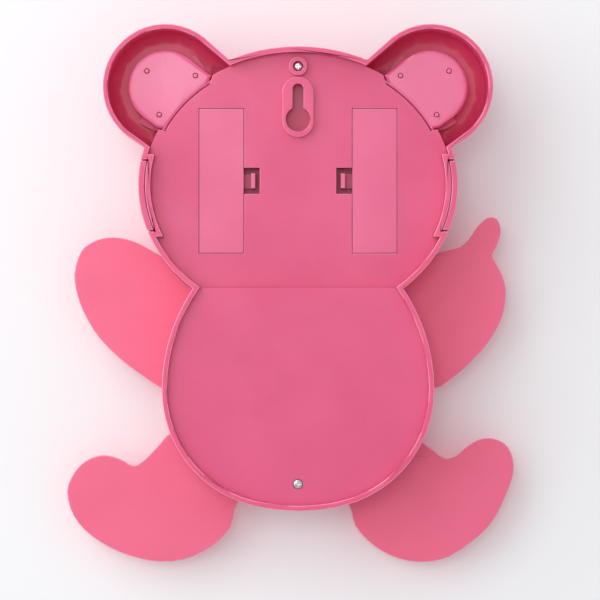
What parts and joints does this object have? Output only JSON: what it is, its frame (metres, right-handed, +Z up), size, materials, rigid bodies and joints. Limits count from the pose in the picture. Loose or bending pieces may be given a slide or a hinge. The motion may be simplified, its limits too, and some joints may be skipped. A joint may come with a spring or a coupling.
{
  "type": "wall clock",
  "caption": "Bear-shaped moulded wall clock with twin battery doors, a keyhole hanger, a belly dial and limbs that rock.",
  "frame": {"origin": "seat of the keyhole hanger: centre of the round top of the slot, in the plane of the rim that touches the wall", "axes": "+Z up as the clock hangs, +Y out of the back towards the wall, the dial faces -Y, +X is on the left of somebody who looks at the back"},
  "size_m": [0.1971, 0.0457, 0.2349],
  "materials": {
    "pink_shell": "moulded, satin sheen",
    "pale_plastic": "fine matt",
    "black_gloss": "polished",
    "pink_limb": "moulded flat sheet, satin",
    "steel": "plated",
    "copper_wire": "wound enamelled wire",
    "board_green": "printed board",
    "cell_wrap": "printed sleeve",
    "dial_card": "printed card",
    "brass": "turned",
    "hand_black": "satin paint",
    "hand_red": "satin paint",
    "movement_black": "moulded",
    "wheel_white": "moulded",
    "lead_red": "insulated wire",
    "lead_black": "insulated wire"
  },
  "bodies": {
    "clock_body": {"case": "pink_shell", "rear_cover": "pink_shell", "front_panel": "pink_shell", "muzzle": "pale_plastic", "nose": "black_gloss", "eye_left": "black_gloss", "eye_right": "black_gloss", "inner_ear_left": "pale_plastic", "inner_ear_right": "pale_plastic", "arms_pivot_pin": "steel", "legs_pivot_pin": "steel", "drive_coil": "copper_wire", "drive_board": "board_green", "battery_left": "cell_wrap", "battery_right": "cell_wrap", "contact_plate_left": "steel", "contact_plate_right": "steel", "contact_spring_left": "steel", "contact_spring_right": "steel", "dial": "dial_card", "hand_nut": "brass", "movement_case": "movement_black", "movement_cover": "movement_black", "movement_board": "board_green", "motor_coil": "copper_wire", "motor_stator": "steel", "case_screw_top": "steel", "case_screw_bottom": "steel", "movement_lead_red": "lead_red", "movement_lead_black": "lead_black", "drive_lead_red": "lead_red", "drive_lead_black": "lead_black"},
    "arms": {"arms_plate": "pink_limb", "drive_magnet": "steel"},
    "legs": {"legs_plate": "pink_limb", "link_pin": "steel"},
    "door_left": {"battery_door_left": "pink_shell"},
    "door_right": {"battery_door_right": "pink_shell"},
    "latch_left": {"battery_latch_left": "pink_shell"},
    "latch_right": {"battery_latch_right": "pink_shell"},
    "rotor": {"motor_rotor": "steel"},
    "second_arbor": {"second_wheel": "wheel_white", "second_hand": "hand_red"},
    "third_arbor": {"third_wheel": "wheel_white"},
    "minute_arbor": {"minute_wheel": "wheel_white", "minute_hand": "hand_black"},
    "motion_arbor": {"motion_wheel": "wheel_white"},
    "hour_arbor": {"hour_wheel": "wheel_white", "hour_hand": "hand_black"}
  },
  "joints": [
    {"name": "arms_swing", "type": "hinge", "parent": "clock_body", "child": "arms", "pos_m": [0, -0.0268, -0.03], "axis": [0, 1, 0], "range_deg": [-1, 7]},
    {"name": "legs_swing", "type": "hinge", "parent": "clock_body", "child": "legs", "pos_m": [0, -0.0295, -0.1615], "axis": [0, 1, 0], "range_deg": [-7, 1]},
    {"name": "door_left_hinge", "type": "hinge", "parent": "clock_body", "child": "door_left", "pos_m": [0.04285, -0.0064, -0.03965], "axis": [0, 0, -1], "range_deg": [0, 75]},
    {"name": "door_right_hinge", "type": "hinge", "parent": "clock_body", "child": "door_right", "pos_m": [-0.04285, -0.0064, -0.03965], "axis": [0, 0, 1], "range_deg": [0, 75]},
    {"name": "latch_left_flex", "type": "hinge", "parent": "door_left", "child": "latch_left", "pos_m": [0.0195, -0.0138, -0.03965], "axis": [0, 0, -1], "range_deg": [0, 12], "stiffness_Nm_per_rad": 0.02},
    {"name": "latch_right_flex", "type": "hinge", "parent": "door_right", "child": "latch_right", "pos_m": [-0.0195, -0.0138, -0.03965], "axis": [0, 0, 1], "range_deg": [0, 12], "stiffness_Nm_per_rad": 0.02},
    {"name": "minute_turn", "type": "hinge", "parent": "clock_body", "child": "minute_arbor", "pos_m": [0, -0.02, -0.1305], "axis": [0, 1, 0], "continuous": true},
    {"name": "hour_turn", "type": "hinge", "parent": "clock_body", "child": "hour_arbor", "pos_m": [0, -0.022, -0.1305], "axis": [0, 1, 0], "continuous": true},
    {"name": "motion_turn", "type": "hinge", "parent": "clock_body", "child": "motion_arbor", "pos_m": [0.0091, -0.021, -0.1305], "axis": [0, 1, 0], "continuous": true},
    {"name": "second_turn", "type": "hinge", "parent": "clock_body", "child": "second_arbor", "pos_m": [0, -0.018, -0.1305], "axis": [0, 1, 0], "continuous": true},
    {"name": "third_turn", "type": "hinge", "parent": "clock_body", "child": "third_arbor", "pos_m": [-0.0082, -0.019, -0.1305], "axis": [0, 1, 0], "continuous": true},
    {"name": "rotor_turn", "type": "hinge", "parent": "clock_body", "child": "rotor", "pos_m": [0, -0.016, -0.1226], "axis": [0, 1, 0], "continuous": true}
  ],
  "couplings": [
    {"joint": "legs_swing", "follows": "arms_swing", "ratio": -1},
    {"joint": "hour_turn", "follows": "minute_turn", "ratio": 0.083333},
    {"joint": "motion_turn", "follows": "minute_turn", "ratio": -0.33333},
    {"joint": "second_turn", "follows": "minute_turn", "ratio": 60},
    {"joint": "third_turn", "follows": "minute_turn", "ratio": -7.5}
  ]
}
